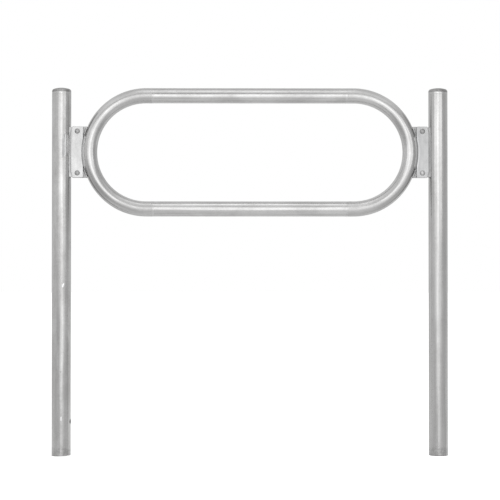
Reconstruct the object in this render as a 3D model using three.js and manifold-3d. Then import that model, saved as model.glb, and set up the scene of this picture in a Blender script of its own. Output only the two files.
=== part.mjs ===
// Hoop bike rack, galvanised steel, for setting in the ground.
// Two round posts carry a long hoop of bent tube. At each end of the hoop a lug on the hoop laps
// behind a lug on the post, and two round-headed bolts hold the lap together.
// Units are millimetres. Z is up, X runs along the rack, and the front faces minus Y.
// The origin is on the ground plane under the middle of the rack, at the feet of the posts.

import * as THREE from 'three';
import { mergeVertices } from 'three/addons/utils/BufferGeometryUtils.js';
import Module from 'manifold-3d';

// Whole rack
const RACK_HEIGHT = 1160;             // feet to the top of the caps
const POST_SPACING = 1190;            // between the axes of the posts
const SEAT_GAP = 0.3;                 // between any two pieces that seat on each other
const CUT_OVERRUN = 10;               // how far a cutter runs past what it cuts

// Posts
const POST_DIAMETER = 60.3;
const POST_WALL = 2.9;
const ANCHOR_HOLE_DIAMETER = 14;      // takes a bar that locks the post in its footing
const ANCHOR_HOLE_HEIGHT = 108;
const ANCHOR_HOLE_TURN_DEGREES = 10;  // the bar's direction, turned from X towards the front

// Domed caps on the posts
const CAP_SKIRT = 5;
const CAP_EDGE_RADIUS = 8;
const CAP_DOME_RADIUS = 80;
const CAP_WALL = 3;

// Hoop
const HOOP_DIAMETER = 48.3;
const HOOP_WALL = 2.6;
const HOOP_BEND_RADIUS = 179;         // to the axis of the tube
const HOOP_POST_GAP = 34.2;           // between the hoop's end and the side of the post
const HOOP_TOP_DROP = 0.5;            // from the top of the caps to the top of the hoop
const BEND_STUB = 22;                 // straight tube left at both ends of a bent piece

// Lugs
const LUG_THICKNESS = 8;
const LUG_HEIGHT = 162;
const LUG_CORNER_RADIUS = 3;
const POST_LUG_REACH = 38.4;          // from the side of the post to the lug's free edge
const POST_LUG_HOOP_GAP = 1;          // between the lug's arched edge and the hoop's outline
const POST_LUG_LAND = 0.6;            // flat left on the edge that is coped to the post
const POST_LUG_CHAMFER_WIDTH = 5;
const POST_LUG_CHAMFER_HEIGHT = 20;
const HOOP_LUG_POST_GAP = 6;          // between the lug's free edge and the side of the post

// Bolts, nuts and washers, M8
const BOLT_DIAMETER = 8;
const BOLT_HEAD_DIAMETER = 16.5;
const BOLT_HEAD_RIM = 0.9;
const BOLT_DOME_HEIGHT = 3.9;
const BOLT_NECK_LENGTH = 5;           // square neck under the head
const BOLT_TAIL = 4;                  // thread that stands out of the nut
const BOLT_END_CHAMFER = 1;
const BOLT_REACH = 20.3;              // from the side of the post to the bolts
const BOLT_EDGE_DISTANCE = 15;        // from the lug's upper or lower edge to the bolt
const NECK_CLEARANCE = 0.4;           // each side of the square neck
const HOLE_CLEARANCE = 0.5;           // all round the shank
const WASHER_DIAMETER = 16;
const WASHER_THICKNESS = 1.6;
const NUT_WIDTH = 13;                 // across flats
const NUT_HEIGHT = 6.8;
const NUT_CHAMFER = 1;

// Facet counts
const POST_SIDES = 48;
const TUBE_SIDES = 24;
const BEND_STEPS = 30;
const CAP_DOME_STEPS = 5;
const CAP_EDGE_STEPS = 5;
const ARCH_SIDES = 160;
const CORNER_STEPS = 3;
const BOLT_SIDES = 24;
const BOLT_DOME_STEPS = 4;
const HEX_SIDES = 6;
const SQUARE_SIDES = 4;

// Places that follow from the sizes
const POST_RADIUS = POST_DIAMETER / 2;
const HOOP_RADIUS = HOOP_DIAMETER / 2;
const HOOP_OUTER_RADIUS = HOOP_BEND_RADIUS + HOOP_RADIUS;
const BEND_CENTRE_REACH = POST_RADIUS + HOOP_POST_GAP + HOOP_OUTER_RADIUS;
const BEND_CENTRE_X = POST_SPACING / 2 - BEND_CENTRE_REACH;
const RAIL_LENGTH = 2 * (BEND_CENTRE_X - BEND_STUB - SEAT_GAP);
const HOOP_CENTRE_Z = RACK_HEIGHT - HOOP_TOP_DROP - HOOP_OUTER_RADIUS;
const CAP_DOME_DROP = Math.sqrt(
  (CAP_DOME_RADIUS - CAP_EDGE_RADIUS) ** 2 - (POST_RADIUS - CAP_EDGE_RADIUS) ** 2);
const CAP_DOME_CENTRE = CAP_SKIRT - CAP_DOME_DROP;
const CAP_HEIGHT = CAP_DOME_CENTRE + CAP_DOME_RADIUS;
const POST_LENGTH = RACK_HEIGHT - CAP_HEIGHT - SEAT_GAP;
const BOLT_RADIUS = BOLT_DIAMETER / 2;
const BOLT_HEIGHT = LUG_HEIGHT / 2 - BOLT_EDGE_DISTANCE;

// The lap joint in depth, from the front (lowest y) to the back
const HOOP_LUG_BACK = LUG_THICKNESS / 2;
const POST_LUG_BACK = HOOP_LUG_BACK - LUG_THICKNESS - SEAT_GAP;
const POST_LUG_FRONT = POST_LUG_BACK - LUG_THICKNESS;
const BOLT_SEAT = POST_LUG_FRONT - SEAT_GAP;
const WASHER_BACK = HOOP_LUG_BACK + SEAT_GAP + WASHER_THICKNESS;
const NUT_BACK = WASHER_BACK + SEAT_GAP + NUT_HEIGHT;
const BOLT_LENGTH = NUT_BACK + BOLT_TAIL - BOLT_SEAT;

// Materials
const dullZinc = new THREE.MeshStandardMaterial({ color: 0xb3b5b4, roughness: 0.42, metalness: 0.9 });
const brightZinc = new THREE.MeshStandardMaterial({ color: 0xc9cbca, roughness: 0.35, metalness: 0.9 });
const platedSteel = new THREE.MeshStandardMaterial({ color: 0xa6a8a9, roughness: 0.3, metalness: 1 });

// Booleans
const wasm = await Module();
wasm.setup();

function toSolid(geometry) {
  const plain = geometry.clone();
  plain.deleteAttribute('normal');
  plain.deleteAttribute('uv');
  const merged = mergeVertices(plain);
  return new wasm.Manifold(new wasm.Mesh({
    numProp: 3,
    vertProperties: new Float32Array(merged.attributes.position.array),
    triVerts: new Uint32Array(merged.index.array),
  }));
}

function toGeometry(solid) {
  const mesh = solid.getMesh();
  const indexed = new THREE.BufferGeometry();
  indexed.setAttribute('position', new THREE.BufferAttribute(mesh.vertProperties, 3));
  indexed.setIndex(new THREE.BufferAttribute(mesh.triVerts, 1));
  const geometry = indexed.toNonIndexed();
  geometry.computeVertexNormals();
  return geometry;
}

function cut(geometry, cutters) {
  let solid = toSolid(geometry);
  for (const cutter of cutters) {
    solid = solid.subtract(toSolid(cutter));
  }
  return toGeometry(solid);
}

// Outlines
function circlePoints(radius, sides) {
  const points = [];
  for (let i = 0; i < sides; i += 1) {
    const angle = 2 * Math.PI * i / sides;
    points.push(new THREE.Vector2(radius * Math.cos(angle), radius * Math.sin(angle)));
  }
  return points;
}

function ringOutline(outerRadius, innerRadius, sides) {
  const outline = new THREE.Shape(circlePoints(outerRadius, sides));
  outline.holes.push(new THREE.Path(circlePoints(innerRadius, sides)));
  return outline;
}

// Extrudes an outline drawn in X and Z forwards: its back face is at y = 0
function extrudeForwards(outline, depth) {
  const geometry = new THREE.ExtrudeGeometry(outline, {
    depth, bevelEnabled: false, curveSegments: CORNER_STEPS,
  });
  return geometry.rotateX(Math.PI / 2);
}

function mesh(name, geometry, material, x, y, z) {
  const piece = new THREE.Mesh(geometry, material);
  piece.name = name;
  piece.position.set(x, y, z);
  return piece;
}

// Post: a tube that is open at its foot, with a hole for the anchor bar
function postTubeGeometry() {
  const outline = ringOutline(POST_RADIUS, POST_RADIUS - POST_WALL, POST_SIDES);
  const tube = new THREE.ExtrudeGeometry(outline, { depth: POST_LENGTH, bevelEnabled: false });
  const holeRadius = ANCHOR_HOLE_DIAMETER / 2;
  const holeLength = POST_DIAMETER + 2 * CUT_OVERRUN;
  const hole = new THREE.CylinderGeometry(holeRadius, holeRadius, holeLength, BOLT_SIDES);
  hole.rotateZ(Math.PI / 2);
  hole.rotateZ(-THREE.MathUtils.degToRad(ANCHOR_HOLE_TURN_DEGREES));
  hole.translate(0, 0, ANCHOR_HOLE_HEIGHT);
  return cut(tube, [hole]);
}

// Cap: a pressed dome with a short skirt that stands on the end of the tube
function postCapGeometry() {
  const innerDome = CAP_DOME_RADIUS - CAP_WALL;
  const innerRadius = POST_RADIUS - CAP_WALL;
  const innerAngle = Math.asin(innerRadius / innerDome);
  const domeAngle = Math.asin((POST_RADIUS - CAP_EDGE_RADIUS) / (CAP_DOME_RADIUS - CAP_EDGE_RADIUS));
  const profile = [];
  for (let i = 0; i <= CAP_DOME_STEPS; i += 1) {
    const angle = innerAngle * i / CAP_DOME_STEPS;
    profile.push(new THREE.Vector2(
      innerDome * Math.sin(angle), CAP_DOME_CENTRE + innerDome * Math.cos(angle)));
  }
  profile.push(new THREE.Vector2(innerRadius, 0));
  profile.push(new THREE.Vector2(POST_RADIUS, 0));
  for (let i = 0; i <= CAP_EDGE_STEPS; i += 1) {
    const angle = (Math.PI / 2 - domeAngle) * i / CAP_EDGE_STEPS;
    profile.push(new THREE.Vector2(
      POST_RADIUS - CAP_EDGE_RADIUS + CAP_EDGE_RADIUS * Math.cos(angle),
      CAP_SKIRT + CAP_EDGE_RADIUS * Math.sin(angle)));
  }
  for (let i = 1; i <= CAP_DOME_STEPS; i += 1) {
    const angle = domeAngle * (1 - i / CAP_DOME_STEPS);
    profile.push(new THREE.Vector2(
      CAP_DOME_RADIUS * Math.sin(angle), CAP_DOME_CENTRE + CAP_DOME_RADIUS * Math.cos(angle)));
  }
  profile[0].x = 0;
  profile[profile.length - 1].x = 0;
  return new THREE.LatheGeometry(profile, POST_SIDES).rotateX(Math.PI / 2);
}

// The axis of one bent piece of the hoop: a straight stub, a half circle and a straight stub.
// The side is -1 for the left piece and 1 for the right one. Each stub takes one step of the sweep.
class BendPath extends THREE.Curve {
  constructor(side) {
    super();
    this.side = side;
  }

  getPoint(t, target = new THREE.Vector3()) {
    const step = t * (BEND_STEPS + 2);
    const stubStart = Math.max(0, 1 - step);
    const stubEnd = Math.max(0, step - BEND_STEPS - 1);
    const angle = Math.PI * THREE.MathUtils.clamp(step - 1, 0, BEND_STEPS) / BEND_STEPS;
    const along = HOOP_BEND_RADIUS * Math.sin(angle) - BEND_STUB * (stubStart + stubEnd);
    const up = HOOP_BEND_RADIUS * Math.cos(angle);
    return target.set(this.side * (BEND_CENTRE_X + along), 0, up);
  }

  getUtoTmapping(u) {
    return u;
  }
}

function bendGeometry(side) {
  const outline = ringOutline(HOOP_RADIUS, HOOP_RADIUS - HOOP_WALL, TUBE_SIDES);
  return new THREE.ExtrudeGeometry(outline, {
    steps: BEND_STEPS + 2, extrudePath: new BendPath(side),
  });
}

function railGeometry() {
  const outline = ringOutline(HOOP_RADIUS, HOOP_RADIUS - HOOP_WALL, TUBE_SIDES);
  const tube = new THREE.ExtrudeGeometry(outline, { depth: RAIL_LENGTH, bevelEnabled: false });
  tube.translate(0, 0, -RAIL_LENGTH / 2);
  return tube.rotateY(Math.PI / 2);
}

// Lugs are drawn from the post's axis towards the hoop, with z = 0 at the hoop's middle.
// Inward is 1 on the left post and -1 on the right one.
function archCutter(inward, radius) {
  const length = 2 * (LUG_THICKNESS + CUT_OVERRUN);
  const cutter = new THREE.CylinderGeometry(radius, radius, length, ARCH_SIDES);
  return cutter.translate(inward * BEND_CENTRE_REACH, 0, 0);
}

function boltHole(inward, up, radius, sides) {
  const centre = inward * (POST_RADIUS + BOLT_REACH);
  const turn = Math.PI / sides;
  const points = circlePoints(radius, sides).map((point) => (
    point.rotateAround(new THREE.Vector2(), turn).add(new THREE.Vector2(centre, up))));
  return new THREE.Path(points);
}

// Post lug: the front plate, coped to the post on one edge and arched round the hoop on the other
function postLugGeometry(inward) {
  const seatRadius = POST_RADIUS + SEAT_GAP;
  const seatEdge = Math.sqrt(seatRadius ** 2 - POST_LUG_FRONT ** 2) + POST_LUG_LAND;
  const freeEdge = POST_RADIUS + POST_LUG_REACH;
  const half = LUG_HEIGHT / 2;
  const round = LUG_CORNER_RADIUS;
  const outline = new THREE.Shape();
  outline.moveTo(inward * seatEdge, POST_LUG_CHAMFER_HEIGHT - half);
  outline.lineTo(inward * (seatEdge + POST_LUG_CHAMFER_WIDTH), -half);
  outline.lineTo(inward * (freeEdge - round), -half);
  outline.quadraticCurveTo(inward * freeEdge, -half, inward * freeEdge, round - half);
  outline.lineTo(inward * freeEdge, half - round);
  outline.quadraticCurveTo(inward * freeEdge, half, inward * (freeEdge - round), half);
  outline.lineTo(inward * (seatEdge + POST_LUG_CHAMFER_WIDTH), half);
  outline.lineTo(inward * seatEdge, half - POST_LUG_CHAMFER_HEIGHT);
  const squareRadius = Math.SQRT2 * (BOLT_RADIUS + NECK_CLEARANCE);
  for (const up of [-BOLT_HEIGHT, BOLT_HEIGHT]) {
    outline.holes.push(boltHole(inward, up, squareRadius, SQUARE_SIDES));
  }
  const plate = extrudeForwards(outline, LUG_THICKNESS).translate(0, POST_LUG_BACK, 0);
  const postLength = LUG_HEIGHT + 2 * CUT_OVERRUN;
  const post = new THREE.CylinderGeometry(seatRadius, seatRadius, postLength, POST_SIDES);
  post.rotateX(Math.PI / 2);
  return cut(plate, [post, archCutter(inward, HOOP_OUTER_RADIUS + POST_LUG_HOOP_GAP)]);
}

// Hoop lug: the rear plate, on the middle of the hoop's end
function hoopLugGeometry(inward) {
  const freeEdge = POST_RADIUS + HOOP_LUG_POST_GAP;
  const half = LUG_HEIGHT / 2;
  const round = LUG_CORNER_RADIUS;
  const outline = new THREE.Shape();
  outline.moveTo(inward * BEND_CENTRE_REACH, half);
  outline.lineTo(inward * (freeEdge + round), half);
  outline.quadraticCurveTo(inward * freeEdge, half, inward * freeEdge, half - round);
  outline.lineTo(inward * freeEdge, round - half);
  outline.quadraticCurveTo(inward * freeEdge, -half, inward * (freeEdge + round), -half);
  outline.lineTo(inward * BEND_CENTRE_REACH, -half);
  for (const up of [-BOLT_HEIGHT, BOLT_HEIGHT]) {
    outline.holes.push(boltHole(inward, up, BOLT_RADIUS + HOLE_CLEARANCE, BOLT_SIDES));
  }
  const plate = extrudeForwards(outline, LUG_THICKNESS).translate(0, HOOP_LUG_BACK, 0);
  return cut(plate, [archCutter(inward, HOOP_OUTER_RADIUS + SEAT_GAP)]);
}

// Bolt: a plain domed head with a square neck. It points forwards, with its seat at y = 0.
function boltGeometry() {
  const headRadius = BOLT_HEAD_DIAMETER / 2;
  const domeRadius = (headRadius ** 2 + BOLT_DOME_HEIGHT ** 2) / (2 * BOLT_DOME_HEIGHT);
  const domeAngle = Math.asin(headRadius / domeRadius);
  const domeCentre = BOLT_HEAD_RIM + BOLT_DOME_HEIGHT - domeRadius;
  const profile = [
    new THREE.Vector2(0, -BOLT_LENGTH),
    new THREE.Vector2(BOLT_RADIUS - BOLT_END_CHAMFER, -BOLT_LENGTH),
    new THREE.Vector2(BOLT_RADIUS, BOLT_END_CHAMFER - BOLT_LENGTH),
    new THREE.Vector2(BOLT_RADIUS, 0),
    new THREE.Vector2(headRadius, 0),
  ];
  for (let i = 0; i < BOLT_DOME_STEPS; i += 1) {
    const angle = domeAngle * (1 - i / BOLT_DOME_STEPS);
    profile.push(new THREE.Vector2(
      domeRadius * Math.sin(angle), domeCentre + domeRadius * Math.cos(angle)));
  }
  profile.push(new THREE.Vector2(0, domeCentre + domeRadius));
  const turned = new THREE.LatheGeometry(profile, BOLT_SIDES);
  const neckLength = BOLT_NECK_LENGTH + BOLT_HEAD_RIM;
  const neck = new THREE.BoxGeometry(BOLT_DIAMETER, neckLength, BOLT_DIAMETER);
  neck.translate(0, BOLT_HEAD_RIM - neckLength / 2, 0);
  return toGeometry(toSolid(turned).add(toSolid(neck))).rotateX(Math.PI);
}

function washerGeometry() {
  const outline = ringOutline(WASHER_DIAMETER / 2, BOLT_RADIUS + HOLE_CLEARANCE, BOLT_SIDES);
  return extrudeForwards(outline, WASHER_THICKNESS);
}

// Nut: a hexagon with its corners turned down at both ends, seen from the back
function nutGeometry() {
  const cornerRadius = NUT_WIDTH / 2 / Math.cos(Math.PI / HEX_SIDES);
  const outline = new THREE.Shape(circlePoints(cornerRadius, HEX_SIDES));
  outline.holes.push(new THREE.Path(circlePoints(BOLT_RADIUS + SEAT_GAP, BOLT_SIDES)));
  const faceRadius = cornerRadius - NUT_CHAMFER;
  const slope = NUT_CHAMFER / Math.sqrt(3);
  const barrel = new THREE.LatheGeometry([
    new THREE.Vector2(0, 0),
    new THREE.Vector2(faceRadius, 0),
    new THREE.Vector2(cornerRadius, slope),
    new THREE.Vector2(cornerRadius, NUT_HEIGHT - slope),
    new THREE.Vector2(faceRadius, NUT_HEIGHT),
    new THREE.Vector2(0, NUT_HEIGHT),
  ], BOLT_SIDES).translate(0, -NUT_HEIGHT, 0);
  return toGeometry(toSolid(extrudeForwards(outline, NUT_HEIGHT)).intersect(toSolid(barrel)));
}

// One side of the rack: the post with its cap and lug, the hoop's lug and the bolted joint
function sideGroup(name, inward) {
  const group = new THREE.Group();
  group.position.x = -inward * POST_SPACING / 2;
  group.add(mesh(`${name}_post_tube`, postTubeGeometry(), dullZinc, 0, 0, 0));
  group.add(mesh(`${name}_post_cap`, postCapGeometry(), dullZinc, 0, 0, POST_LENGTH + SEAT_GAP));
  const joint = new THREE.Group();
  joint.position.z = HOOP_CENTRE_Z;
  joint.add(mesh(`${name}_post_lug`, postLugGeometry(inward), brightZinc, 0, 0, 0));
  joint.add(mesh(`${name}_hoop_lug`, hoopLugGeometry(inward), brightZinc, 0, 0, 0));
  const boltX = inward * (POST_RADIUS + BOLT_REACH);
  for (const [level, up] of [['upper', BOLT_HEIGHT], ['lower', -BOLT_HEIGHT]]) {
    const prefix = `${name}_${level}`;
    joint.add(mesh(`${prefix}_bolt`, boltGeometry(), platedSteel, boltX, BOLT_SEAT, up));
    joint.add(mesh(`${prefix}_washer`, washerGeometry(), platedSteel, boltX, WASHER_BACK, up));
    joint.add(mesh(`${prefix}_nut`, nutGeometry(), platedSteel, boltX, NUT_BACK, up));
  }
  group.add(joint);
  return group;
}

// The hoop: two bent ends and two straight rails, butted end to end
function hoopGroup() {
  const group = new THREE.Group();
  group.position.z = HOOP_CENTRE_Z;
  group.add(mesh('hoop_left_bend', bendGeometry(-1), dullZinc, 0, 0, 0));
  group.add(mesh('hoop_right_bend', bendGeometry(1), dullZinc, 0, 0, 0));
  group.add(mesh('hoop_top_rail', railGeometry(), dullZinc, 0, 0, HOOP_BEND_RADIUS));
  group.add(mesh('hoop_bottom_rail', railGeometry(), dullZinc, 0, 0, -HOOP_BEND_RADIUS));
  return group;
}

const rack = new THREE.Group();
rack.add(sideGroup('left', 1));
rack.add(sideGroup('right', -1));
rack.add(hoopGroup());

export default rack;
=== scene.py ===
"""Looks of the hoop bike rack: hot-dip galvanised tube, plate, welds and fasteners in a pale
studio. Lengths are in metres. X runs along the rack, the front faces minus Y, and Z is up."""
import math

import bmesh
import bpy
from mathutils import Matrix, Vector, noise
from mathutils.geometry import tessellate_polygon


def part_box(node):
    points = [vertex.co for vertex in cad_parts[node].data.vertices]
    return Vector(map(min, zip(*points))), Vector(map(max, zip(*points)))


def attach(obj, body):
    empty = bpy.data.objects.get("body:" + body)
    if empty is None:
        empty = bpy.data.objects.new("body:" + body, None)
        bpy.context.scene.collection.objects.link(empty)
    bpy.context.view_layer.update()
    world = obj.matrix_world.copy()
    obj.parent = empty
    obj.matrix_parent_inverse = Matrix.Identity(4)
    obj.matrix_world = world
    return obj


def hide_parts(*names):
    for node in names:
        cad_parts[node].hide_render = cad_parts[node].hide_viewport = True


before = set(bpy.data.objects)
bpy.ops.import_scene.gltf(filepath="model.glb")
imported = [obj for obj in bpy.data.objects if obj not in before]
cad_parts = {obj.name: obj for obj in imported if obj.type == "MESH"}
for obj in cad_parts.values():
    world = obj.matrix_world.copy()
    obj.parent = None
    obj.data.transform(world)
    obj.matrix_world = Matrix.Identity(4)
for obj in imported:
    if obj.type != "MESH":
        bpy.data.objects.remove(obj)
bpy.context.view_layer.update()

MM = 0.001
TURN = 2 * math.pi
X_AXIS = Vector((1, 0, 0))
Y_AXIS = Vector((0, 1, 0))
Z_AXIS = Vector((0, 0, 1))

# Places and sizes taken from the CAD nodes
post_low, post_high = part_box("right_post_tube")
CAP_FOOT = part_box("right_post_cap")[0].z
rail_low, rail_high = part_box("hoop_top_rail")
lower_rail_low, lower_rail_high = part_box("hoop_bottom_rail")
bend_low, bend_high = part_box("hoop_right_bend")
post_lug_low, post_lug_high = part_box("left_post_lug")
hoop_lug_low, hoop_lug_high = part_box("left_hoop_lug")
bolt_low, bolt_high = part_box("left_upper_bolt")
lower_bolt_low, lower_bolt_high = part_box("left_lower_bolt")
washer_low, washer_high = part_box("left_upper_washer")
nut_low, nut_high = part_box("left_upper_nut")

POST_X = (post_low.x + post_high.x) / 2
POST_RADIUS = (post_high.x - post_low.x) / 2
POST_TOP = post_high.z
RAIL_END = rail_high.x
HOOP_TOP = (rail_low.z + rail_high.z) / 2
HOOP_FOOT = (lower_rail_low.z + lower_rail_high.z) / 2
HOOP_MIDDLE = (HOOP_TOP + HOOP_FOOT) / 2
BEND_RADIUS = (HOOP_TOP - HOOP_FOOT) / 2
HOOP_RADIUS = (rail_high.z - rail_low.z) / 2
BEND_START = bend_low.x
BEND_CENTRE = bend_high.x - BEND_RADIUS - HOOP_RADIUS
HOOP_OUTER = BEND_RADIUS + HOOP_RADIUS
BEND_REACH = POST_X - BEND_CENTRE
LUG_HALF = (post_lug_high.z - post_lug_low.z) / 2
POST_LUG_FRONT = post_lug_low.y
POST_LUG_BACK = post_lug_high.y
POST_LUG_FREE = post_lug_high.x + POST_X
HOOP_LUG_FRONT = hoop_lug_low.y
HOOP_LUG_BACK = hoop_lug_high.y
HOOP_LUG_FREE = hoop_lug_low.x + POST_X
BOLT_REACH = (bolt_low.x + bolt_high.x) / 2 + POST_X
BOLT_HEIGHT = ((bolt_low.z + bolt_high.z) - (lower_bolt_low.z + lower_bolt_high.z)) / 4
BOLT_HEAD_RADIUS = (bolt_high.z - bolt_low.z) / 2
BOLT_FRONT = bolt_low.y
BOLT_END = bolt_high.y
WASHER_RADIUS = (washer_high.z - washer_low.z) / 2
NUT_FRONT = nut_low.y
NUT_BACK = nut_high.y

# Sizes that the CAD solids leave out or leave plain
POST_WALL = 2.9 * MM
HOOP_WALL = 2.6 * MM
CAP_SKIRT = 5 * MM
CAP_EDGE = 8 * MM
CAP_DOME = 80 * MM
CAP_WALL = 3 * MM
ANCHOR_RADIUS = 7 * MM
ANCHOR_HEIGHT = 108 * MM
ANCHOR_TURN = math.radians(10)
LUG_EDGE = 1.1 * MM
LUG_CORNER = 3 * MM
LUG_SEAT = 30.0 * MM
LUG_CHAMFER_WIDTH = 5 * MM
LUG_CHAMFER_HEIGHT = 20 * MM
LUG_ARCH = HOOP_OUTER + 0.4 * MM
LUG_ARCH_TURN = math.degrees(math.acos((BEND_REACH - POST_LUG_FREE) / LUG_ARCH))
SEAT_GAP = 0.3 * MM
BOLT_RADIUS = 4 * MM
BOLT_NECK = 5 * MM
BOLT_RIM = 0.9 * MM
THREAD_PITCH = 1.25 * MM
THREAD_DEPTH = 0.65 * MM
THREAD_LENGTH = 14 * MM
NECK_HOLE = 4.4 * MM
SHANK_HOLE = 4.5 * MM
NUT_HALF_WIDTH = 6.5 * MM
NUT_CHAMFER = 1 * MM
WELD_BEVEL = 0.9 * MM

# Where the posts and the plates read their texture, on each side of the middle
POST_GRAIN = 0.4
PLATE_GRAIN = 0.7

# How finely the round forms are made
POST_SIDES = 96
TUBE_SIDES = 72
BEND_STEPS = 90
BOLT_SIDES = 60
NUT_SIDES = 96

# Edges that turn by more degrees than this stay sharp
ROUND_CREASE = 32
PLATE_CREASE = 40
WELD_CREASE = 60
BEAD_CREASE = 50
NUT_CREASE = 24


# Meshes
def mesh_piece(name, vertices, faces, grain, crease=ROUND_CREASE):
    """A closed mesh with outward normals. Its grain is where the zinc's texture is read."""
    mesh = bpy.data.meshes.new(name)
    mesh.from_pydata([tuple(v) for v in vertices], [], faces)
    work = bmesh.new()
    work.from_mesh(mesh)
    bmesh.ops.recalc_face_normals(work, faces=work.faces)
    work.to_mesh(mesh)
    work.free()
    finish_mesh(mesh, grain, crease)
    return add_object(name, mesh)


def finish_mesh(mesh, grain, crease=ROUND_CREASE):
    attribute = mesh.attributes.new("grain", "FLOAT_VECTOR", "POINT")
    attribute.data.foreach_set("vector", [number for point in grain for number in point])
    mesh.shade_smooth()
    mesh.set_sharp_from_angle(angle=math.radians(crease))


def add_object(name, data):
    thing = bpy.data.objects.new(name, data)
    bpy.context.scene.collection.objects.link(thing)
    return thing


def swept(name, profile, place, sides, shift, crease=ROUND_CREASE):
    """Turns a loop of (along, radius) stations round an axis that may bend.
    A station can be a function of the angle. A radius of zero ends the loop on the axis."""
    vertices = []
    grain = []
    rings = []
    for station in profile:
        varies = callable(station)
        along, radius = station(0) if varies else station
        if radius == 0:
            rings.append([len(vertices)])
            vertices.append(place(along)[0])
            grain.append(shift + Vector((0, 0, along)))
            continue
        ring = []
        for step in range(sides):
            angle = TURN * step / sides
            if varies:
                along, radius = station(angle)
            centre, across, up = place(along)
            cosine, sine = math.cos(angle), math.sin(angle)
            ring.append(len(vertices))
            vertices.append(centre + radius * (cosine * across + sine * up))
            grain.append(shift + Vector((radius * cosine, radius * sine, along)))
        rings.append(ring)
    closed = len(rings[0]) > 1
    faces = bands(rings + rings[:1] if closed else rings)
    return mesh_piece(name, vertices, faces, grain, crease)


def band(first, second):
    """The faces between two rings, either of which may be a single vertex."""
    count = max(len(first), len(second))
    faces = []
    for i in range(count):
        j = (i + 1) % count
        if len(first) == 1:
            faces.append((first[0], second[i], second[j]))
        elif len(second) == 1:
            faces.append((first[i], first[j], second[0]))
        else:
            faces.append((first[i], first[j], second[j], second[i]))
    return faces


def bands(rings):
    return [face for pair in zip(rings, rings[1:]) for face in band(*pair)]


def loft(name, sections, shift, crease):
    """Joins closed sections that have the same number of points, and closes both ends."""
    size = len(sections[0])
    vertices = [point for section in sections for point in section]
    rings = [list(range(i * size, (i + 1) * size)) for i in range(len(sections))]
    faces = [tuple(rings[0]), tuple(reversed(rings[-1]))] + bands(rings)
    return mesh_piece(name, vertices, faces, [shift + point for point in vertices], crease)


def inset(outline, distance):
    """Moves each corner of a counter-clockwise outline inwards, square to both of its edges."""
    least_share = 0.3
    moved = []
    count = len(outline)
    for i, point in enumerate(outline):
        before = (point - outline[i - 1]).normalized()
        after = (outline[(i + 1) % count] - point).normalized()
        normal = Vector((-before.y - after.y, before.x + after.x)).normalized()
        share = max(least_share, normal.dot(Vector((-after.y, after.x))))
        moved.append(point + normal * distance / share)
    return moved


def rounded_plate(name, outline, holes, front, back, origin, shift):
    """A plate drawn in X and Z, with rounded rims and straight-walled holes."""
    curve = []
    for angle in even(0, TURN / 4, 5):
        curve.append((LUG_EDGE * (1 - math.sin(angle)), LUG_EDGE * (1 - math.cos(angle))))
    rims = [(distance, front + depth) for distance, depth in curve]
    rims += [(distance, back - depth) for distance, depth in reversed(curve)]
    vertices = []
    rings = []
    for distance, depth in rims:
        rings.append(list(range(len(vertices), len(vertices) + len(outline))))
        vertices += [origin + Vector((p.x, depth, p.y)) for p in inset(outline, distance)]
    faces = bands(rings)
    front_loops = [rings[0]]
    back_loops = [rings[-1]]
    for hole in holes:
        ends = []
        for depth in (front, back):
            ends.append(list(range(len(vertices), len(vertices) + len(hole))))
            vertices += [origin + Vector((p.x, depth, p.y)) for p in hole]
        faces += band(ends[0], ends[1])
        front_loops.append(ends[0])
        back_loops.append(ends[1])
    for loops in (front_loops, back_loops):
        order = [index for loop in loops for index in loop]
        flat = [[Vector((vertices[i].x, vertices[i].z, 0)) for i in loop] for loop in loops]
        faces += [tuple(order[i] for i in triangle) for triangle in tessellate_polygon(flat)]
    piece = mesh_piece(name, vertices, faces, [shift + v for v in vertices], PLATE_CREASE)
    flat_faces = piece.modifiers.new("flat faces", "WEIGHTED_NORMAL")
    flat_faces.keep_sharp = True
    return piece


def arc(centre, radius, start, end, steps):
    """Points on a circle from one angle to another, in degrees."""
    angles = [math.radians(angle) for angle in even(start, end, steps)]
    return [centre + radius * Vector((math.cos(a), math.sin(a))) for a in angles]


def waver(angle, seed, detail=1.0):
    """A smooth closed wave round a ring, from about minus one to one."""
    point = Vector((detail * math.cos(angle), detail * math.sin(angle), seed))
    return noise.noise(point) * 2


# Lines that round pieces follow: where they are, and the two directions across
def upright(x, z):
    return lambda along: (Vector((x, 0, z + along)), X_AXIS, Y_AXIS)


def rearward(x, y, z):
    return lambda along: (Vector((x, y + along, z)), X_AXIS, Z_AXIS)


def level(z):
    return lambda along: (Vector((along, 0, z)), Y_AXIS, Z_AXIS)


def bend_line(side):
    """The line of a bent end of the hoop, with the tube slightly oval in the bend."""
    stub = BEND_CENTRE - BEND_START
    half_circle = math.pi * BEND_RADIUS
    wider = 0.008
    flatter = 0.015

    def place(along):
        turned = min(max(along - stub, 0), half_circle) / BEND_RADIUS
        before = min(along - stub, 0)
        after = max(along - stub - half_circle, 0)
        outward = Vector((side * math.sin(turned), 0, math.cos(turned)))
        centre = Vector((side * (BEND_CENTRE + before - after), 0, HOOP_MIDDLE))
        squeeze = min(1, 4 * turned / math.pi, 4 * (math.pi - turned) / math.pi)
        across = Y_AXIS * (1 + wider * squeeze)
        return centre + BEND_RADIUS * outward, across, outward * (1 - flatter * squeeze)

    return place, 2 * stub + half_circle


def tube_profile(stations):
    """The outside of the hoop's tube along the stations, and its inside on the way back."""
    outside = [(along, HOOP_RADIUS) for along in stations]
    return outside + [(along, HOOP_RADIUS - HOOP_WALL) for along in reversed(stations)]


def even(start, end, count):
    """Numbers from start to end, evenly spaced."""
    return [start + (end - start) * i / count for i in range(count + 1)]


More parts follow.
